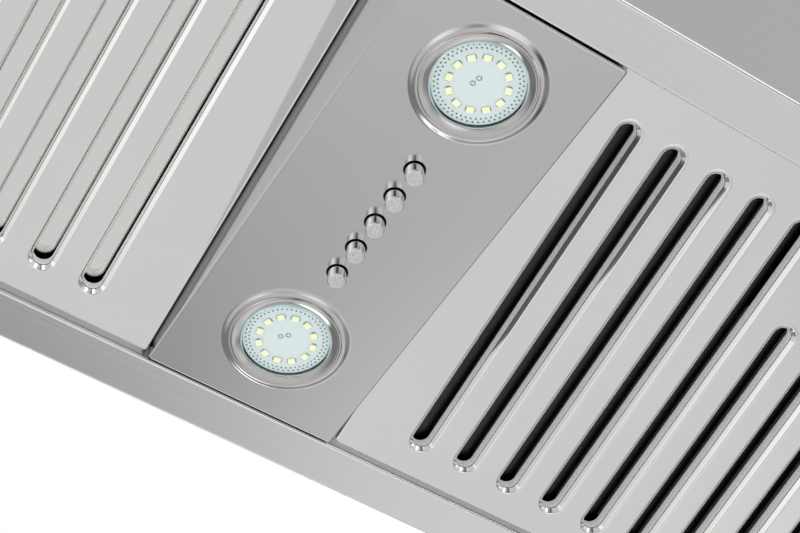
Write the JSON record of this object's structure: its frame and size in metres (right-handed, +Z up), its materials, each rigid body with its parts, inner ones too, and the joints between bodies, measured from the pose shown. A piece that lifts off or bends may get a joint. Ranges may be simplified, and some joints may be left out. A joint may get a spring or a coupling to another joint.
{
  "type": "range hood insert",
  "caption": "Built-in cooker hood with a centre control panel, recessed lamps, tilted slotted baffle filters and a top-mounted blower with a damped duct collar.",
  "frame": {"origin": "middle of the footprint, at the level of the button tips, the lowest point", "axes": "+X along the hood to the right, seen from the front; +Y to the rear; +Z up, along the duct collar"},
  "size_m": [0.8986, 0.29, 0.3354],
  "materials": {
    "canopy_steel": "brushed stainless sheet, grain along the hood",
    "panel_steel": "fine brushed stainless sheet",
    "filter_steel": "bright stainless baffle sheet",
    "button_metal": "polished metal cap",
    "ring_metal": "satin turned ring",
    "lens_glass": "clear lens with a green edge",
    "lamp_board": "white coated board",
    "lamp_chip": "yellow phosphor",
    "lamp_body": "cast, bare",
    "galvanised": "galvanised sheet",
    "spring_steel": "hardened spring steel",
    "plastic_white": "moulded",
    "plastic_black": "moulded",
    "motor_paint": "satin enamel"
  },
  "bodies": {
    "root": {"front_fascia": "canopy_steel", "rear_wall": "canopy_steel", "canopy_side_left": "canopy_steel", "canopy_side_right": "canopy_steel", "top_plate": "galvanised", "front_rail_left": "canopy_steel", "front_rail_right": "canopy_steel", "catch_left": "spring_steel", "catch_right": "spring_steel", "control_panel": "panel_steel", "panel_cover": "galvanised", "panel_bracket_front": "canopy_steel", "panel_bracket_rear": "canopy_steel", "cable_conduit": "galvanised", "led_driver": "plastic_white", "switch_module": "plastic_black", "blower_box": "galvanised", "scroll": "galvanised", "inlet_rings": "galvanised", "motor": "motor_paint", "motor_mount": "galvanised", "capacitor": "plastic_white", "duct_collar": "galvanised", "damper_pin": "spring_steel", "terminal_box": "galvanised", "terminal_cover": "galvanised", "cable_gland": "plastic_black", "lamp_ring_front": "ring_metal", "lamp_lens_front": "lens_glass", "led_board_front": "lamp_board", "led_chips_front": "lamp_chip", "lamp_body_front": "lamp_body", "lamp_ring_rear": "ring_metal", "lamp_lens_rear": "lens_glass", "led_board_rear": "lamp_board", "led_chips_rear": "lamp_chip", "lamp_body_rear": "lamp_body"},
    "button_1": {"button_1": "button_metal"},
    "button_2": {"button_2": "button_metal"},
    "button_3": {"button_3": "button_metal"},
    "button_4": {"button_4": "button_metal"},
    "button_5": {"button_5": "button_metal"},
    "filter_left": {"filter_face_left": "filter_steel", "filter_back_left": "filter_steel", "latch_cover_left": "filter_steel", "latch_spring_left": "spring_steel"},
    "latch_left": {"latch_bolt_left": "filter_steel", "latch_knob_left": "button_metal"},
    "filter_right": {"filter_face_right": "filter_steel", "filter_back_right": "filter_steel", "latch_cover_right": "filter_steel", "latch_spring_right": "spring_steel"},
    "latch_right": {"latch_bolt_right": "filter_steel", "latch_knob_right": "button_metal"},
    "impeller": {"impeller": "galvanised", "motor_shaft": "spring_steel"},
    "damper_front": {"damper_front": "galvanised"},
    "damper_rear": {"damper_rear": "galvanised"}
  },
  "joints": [
    {"name": "button_1_press", "type": "slide", "parent": "root", "child": "button_1", "axis": [0, 0, 1], "range_m": [0, 0.003], "stiffness_N_per_m": 400, "springref_m": -0.002},
    {"name": "button_2_press", "type": "slide", "parent": "root", "child": "button_2", "axis": [0, 0, 1], "range_m": [0, 0.003], "stiffness_N_per_m": 400, "springref_m": -0.002},
    {"name": "button_3_press", "type": "slide", "parent": "root", "child": "button_3", "axis": [0, 0, 1], "range_m": [0, 0.003], "stiffness_N_per_m": 400, "springref_m": -0.002},
    {"name": "button_4_press", "type": "slide", "parent": "root", "child": "button_4", "axis": [0, 0, 1], "range_m": [0, 0.003], "stiffness_N_per_m": 400, "springref_m": -0.002},
    {"name": "button_5_press", "type": "slide", "parent": "root", "child": "button_5", "axis": [0, 0, 1], "range_m": [0, 0.003], "stiffness_N_per_m": 400, "springref_m": -0.002},
    {"name": "filter_left_tilt", "type": "hinge", "parent": "root", "child": "filter_left", "pos_m": [0, 0.12, 0.0104], "axis": [1, 0, 0], "range_deg": [0, 40], "deforming": ["catch_left"]},
    {"name": "latch_left_slide", "type": "slide", "parent": "filter_left", "child": "latch_left", "axis": [0, 0.9699, -0.2436], "range_m": [0, 0.008], "stiffness_N_per_m": 500, "springref_m": -0.004, "deforming": ["latch_spring_left"]},
    {"name": "filter_right_tilt", "type": "hinge", "parent": "root", "child": "filter_right", "pos_m": [0, 0.12, 0.0104], "axis": [1, 0, 0], "range_deg": [0, 40], "deforming": ["catch_right"]},
    {"name": "latch_right_slide", "type": "slide", "parent": "filter_right", "child": "latch_right", "axis": [0, 0.9699, -0.2436], "range_m": [0, 0.008], "stiffness_N_per_m": 500, "springref_m": -0.004, "deforming": ["latch_spring_right"]},
    {"name": "impeller_spin", "type": "hinge", "parent": "root", "child": "impeller", "pos_m": [0, 0.038, 0.2074], "axis": [1, 0, 0], "continuous": true},
    {"name": "damper_front_swing", "type": "hinge", "parent": "root", "child": "damper_front", "pos_m": [0, -0.02, 0.2994], "axis": [-1, 0, 0], "range_deg": [0, 80]},
    {"name": "damper_rear_swing", "type": "hinge", "parent": "root", "child": "damper_rear", "pos_m": [0, -0.02, 0.2994], "axis": [1, 0, 0], "range_deg": [0, 80]}
  ]
}
